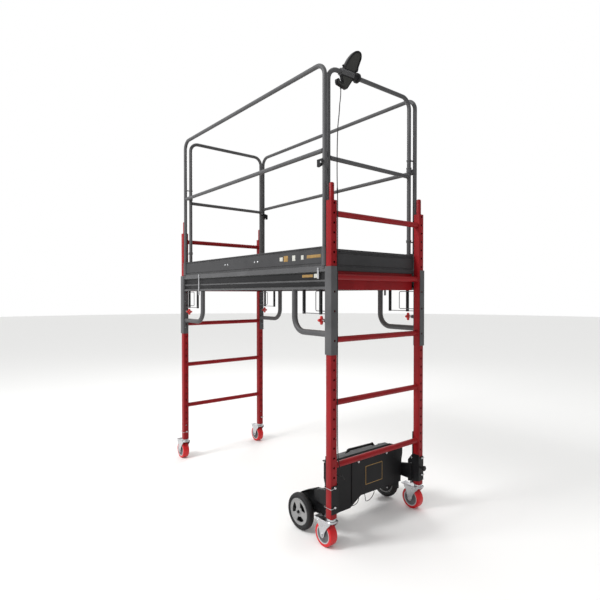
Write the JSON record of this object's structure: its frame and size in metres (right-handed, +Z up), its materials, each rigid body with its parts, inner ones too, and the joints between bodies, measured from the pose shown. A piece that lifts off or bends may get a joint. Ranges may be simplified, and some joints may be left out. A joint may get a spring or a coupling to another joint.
{
  "type": "baker scaffold",
  "caption": "Baker scaffold: ladder end frames, height-adjustable guarded platform, braked casters, clamp-on motor drive and rail-mounted remote.",
  "frame": {"origin": "centre of the footprint at floor level, the lowest point of the casters and drive wheels", "axes": "+X towards the end with the motor drive and the remote, +Y to the right side, +Z up"},
  "size_m": [1.9138, 0.805, 2.6805],
  "materials": {
    "red_paint": "semi-gloss red powder coat",
    "grey_paint": "satin dark grey powder coat",
    "black_paint": "satin black paint",
    "black_plastic": "moulded black plastic",
    "black_rubber": "black rubber",
    "red_tread": "red polyurethane tread on a grey rim",
    "red_plastic": "red plastic hand knob",
    "zinc": "bright zinc plating",
    "deck_board": "sealed plywood"
  },
  "bodies": {
    "frame": {"end_frame_near": "red_paint", "end_frame_far": "red_paint", "caster_stem_near_left": "zinc", "snap_pin_near_left": "zinc", "caster_stem_near_right": "zinc", "snap_pin_near_right": "zinc", "caster_stem_far_left": "zinc", "snap_pin_far_left": "zinc", "caster_stem_far_right": "zinc", "snap_pin_far_right": "zinc", "drive_chassis": "black_paint", "drive_cover": "black_paint", "battery": "black_plastic", "gearmotor_left": "black_paint", "gearmotor_right": "black_paint", "remote_cable_lower": "black_rubber", "motor_lead_left": "black_rubber", "motor_lead_right": "black_rubber"},
    "platform": {"side_bracket_left": "grey_paint", "side_bracket_right": "grey_paint", "deck_frame": "red_paint", "deck_panel": "deck_board", "toe_board_left": "grey_paint", "toe_board_right": "grey_paint", "toe_board_near": "grey_paint", "toe_board_far": "grey_paint", "guardrail_left": "grey_paint", "guardrail_right": "grey_paint"},
    "gate_near": {"gate_near": "grey_paint", "remote_clamp": "black_plastic", "remote_housing": "black_plastic", "remote_cable_upper": "black_rubber"},
    "gate_far": {"gate_far": "grey_paint"},
    "hook_near": {"gate_hook_near": "black_paint"},
    "hook_far": {"gate_hook_far": "black_paint"},
    "lock_pin_near_left": {"lock_pin_knob_near_left": "red_plastic"},
    "deck_latch_near_left": {"deck_latch_near_left": "zinc"},
    "caster_near_left": {"caster_fork_near_left": "zinc"},
    "wheel_near_left": {"caster_wheel_near_left": "red_tread"},
    "brake_near_left": {"brake_pedal_near_left": "zinc"},
    "lock_pin_near_right": {"lock_pin_knob_near_right": "red_plastic"},
    "deck_latch_near_right": {"deck_latch_near_right": "zinc"},
    "caster_near_right": {"caster_fork_near_right": "zinc"},
    "wheel_near_right": {"caster_wheel_near_right": "red_tread"},
    "brake_near_right": {"brake_pedal_near_right": "zinc"},
    "lock_pin_far_left": {"lock_pin_knob_far_left": "red_plastic"},
    "deck_latch_far_left": {"deck_latch_far_left": "zinc"},
    "caster_far_left": {"caster_fork_far_left": "zinc"},
    "wheel_far_left": {"caster_wheel_far_left": "red_tread"},
    "brake_far_left": {"brake_pedal_far_left": "zinc"},
    "lock_pin_far_right": {"lock_pin_knob_far_right": "red_plastic"},
    "deck_latch_far_right": {"deck_latch_far_right": "zinc"},
    "caster_far_right": {"caster_fork_far_right": "zinc"},
    "wheel_far_right": {"caster_wheel_far_right": "red_tread"},
    "brake_far_right": {"brake_pedal_far_right": "zinc"},
    "drive_wheel_left": {"drive_wheel_left": "black_rubber"},
    "drive_wheel_right": {"drive_wheel_right": "black_rubber"},
    "clamp_knob": {"clamp_knob": "black_plastic"},
    "joystick": {"joystick": "black_plastic"},
    "enable_button": {"enable_button": "black_plastic"}
  },
  "joints": [
    {"name": "platform_height", "type": "slide", "parent": "frame", "child": "platform", "axis": [0, 0, 1], "range_m": [-0.508, 0.3048], "deforming": ["remote_cable_lower", "remote_cable_upper"]},
    {"name": "gate_near_swing", "type": "hinge", "parent": "platform", "child": "gate_near", "pos_m": [0.8426, 0.3355, 1.5], "axis": [0, 0, 1], "range_deg": [-80, 0], "deforming": ["remote_cable_upper"]},
    {"name": "gate_far_swing", "type": "hinge", "parent": "platform", "child": "gate_far", "pos_m": [-0.7904, -0.3355, 1.5], "axis": [0, 0, 1], "range_deg": [-85, 0]},
    {"name": "hook_near_lift", "type": "hinge", "parent": "gate_near", "child": "hook_near", "pos_m": [0.8256, -0.3355, 2.035], "axis": [1, 0, 0], "range_deg": [-25, 0]},
    {"name": "hook_far_lift", "type": "hinge", "parent": "gate_far", "child": "hook_far", "pos_m": [-0.7734, 0.3355, 2.035], "axis": [-1, 0, 0], "range_deg": [-25, 0]},
    {"name": "lock_pin_near_left_push", "type": "slide", "parent": "platform", "child": "lock_pin_near_left", "axis": [1, 0, 0], "range_m": [0, 0.016]},
    {"name": "lock_pin_near_right_push", "type": "slide", "parent": "platform", "child": "lock_pin_near_right", "axis": [1, 0, 0], "range_m": [0, 0.016]},
    {"name": "lock_pin_far_left_push", "type": "slide", "parent": "platform", "child": "lock_pin_far_left", "axis": [-1, 0, 0], "range_m": [0, 0.016]},
    {"name": "lock_pin_far_right_push", "type": "slide", "parent": "platform", "child": "lock_pin_far_right", "axis": [-1, 0, 0], "range_m": [0, 0.016]},
    {"name": "deck_latch_near_left_turn", "type": "hinge", "parent": "platform", "child": "deck_latch_near_left", "pos_m": [0.8161, -0.38, 1.458], "axis": [0, 1, 0], "range_deg": [0, 90]},
    {"name": "deck_latch_near_right_turn", "type": "hinge", "parent": "platform", "child": "deck_latch_near_right", "pos_m": [0.6111, 0.38, 1.458], "axis": [0, 1, 0], "range_deg": [0, 90]},
    {"name": "deck_latch_far_left_turn", "type": "hinge", "parent": "platform", "child": "deck_latch_far_left", "pos_m": [-0.5589, -0.38, 1.458], "axis": [0, 1, 0], "range_deg": [-90, 0]},
    {"name": "deck_latch_far_right_turn", "type": "hinge", "parent": "platform", "child": "deck_latch_far_right", "pos_m": [-0.7639, 0.38, 1.458], "axis": [0, 1, 0], "range_deg": [-90, 0]},
    {"name": "caster_near_left_swivel", "type": "hinge", "parent": "frame", "child": "caster_near_left", "pos_m": [0.8981, -0.361, 0.146], "axis": [0, 0, 1], "continuous": true},
    {"name": "wheel_near_left_roll", "type": "hinge", "parent": "caster_near_left", "child": "wheel_near_left", "pos_m": [0.8581, -0.361, 0.0635], "axis": [0, 1, 0], "continuous": true},
    {"name": "brake_near_left_press", "type": "hinge", "parent": "caster_near_left", "child": "brake_near_left", "pos_m": [0.8251, -0.361, 0.131], "axis": [0, 1, 0], "range_deg": [-12, 0]},
    {"name": "caster_near_right_swivel", "type": "hinge", "parent": "frame", "child": "caster_near_right", "pos_m": [0.8981, 0.361, 0.146], "axis": [0, 0, 1], "continuous": true},
    {"name": "wheel_near_right_roll", "type": "hinge", "parent": "caster_near_right", "child": "wheel_near_right", "pos_m": [0.8581, 0.361, 0.0635], "axis": [0, 1, 0], "continuous": true},
    {"name": "brake_near_right_press", "type": "hinge", "parent": "caster_near_right", "child": "brake_near_right", "pos_m": [0.8251, 0.361, 0.131], "axis": [0, 1, 0], "range_deg": [-12, 0]},
    {"name": "caster_far_left_swivel", "type": "hinge", "parent": "frame", "child": "caster_far_left", "pos_m": [-0.8459, -0.361, 0.146], "axis": [0, 0, 1], "continuous": true},
    {"name": "wheel_far_left_roll", "type": "hinge", "parent": "caster_far_left", "child": "wheel_far_left", "pos_m": [-0.8859, -0.361, 0.0635], "axis": [0, 1, 0], "continuous": true},
    {"name": "brake_far_left_press", "type": "hinge", "parent": "caster_far_left", "child": "brake_far_left", "pos_m": [-0.9189, -0.361, 0.131], "axis": [0, 1, 0], "range_deg": [-12, 0]},
    {"name": "caster_far_right_swivel", "type": "hinge", "parent": "frame", "child": "caster_far_right", "pos_m": [-0.8459, 0.361, 0.146], "axis": [0, 0, 1], "continuous": true},
    {"name": "wheel_far_right_roll", "type": "hinge", "parent": "caster_far_right", "child": "wheel_far_right", "pos_m": [-0.8859, 0.361, 0.0635], "axis": [0, 1, 0], "continuous": true},
    {"name": "brake_far_right_press", "type": "hinge", "parent": "caster_far_right", "child": "brake_far_right", "pos_m": [-0.9189, 0.361, 0.131], "axis": [0, 1, 0], "range_deg": [-12, 0]},
    {"name": "drive_wheel_left_roll", "type": "hinge", "parent": "frame", "child": "drive_wheel_left", "pos_m": [0.6381, -0.356, 0.102], "axis": [0, 1, 0], "continuous": true},
    {"name": "drive_wheel_right_roll", "type": "hinge", "parent": "frame", "child": "drive_wheel_right", "pos_m": [0.6381, 0.356, 0.102], "axis": [0, 1, 0], "continuous": true},
    {"name": "clamp_knob_turn", "type": "hinge", "parent": "frame", "child": "clamp_knob", "pos_m": [0.9239, 0.352, 0.269], "axis": [1, 0, 0], "continuous": true},
    {"name": "joystick_tilt", "type": "hinge", "parent": "gate_near", "child": "joystick", "pos_m": [0.8286, -0.148, 2.618], "axis": [0, 0, 1], "range_deg": [-18, 18], "stiffness_Nm_per_rad": 0.4},
    {"name": "enable_button_press", "type": "slide", "parent": "gate_near", "child": "enable_button", "axis": [0, 0.874, -0.486], "range_m": [0, 0.003], "stiffness_N_per_m": 400}
  ]
}
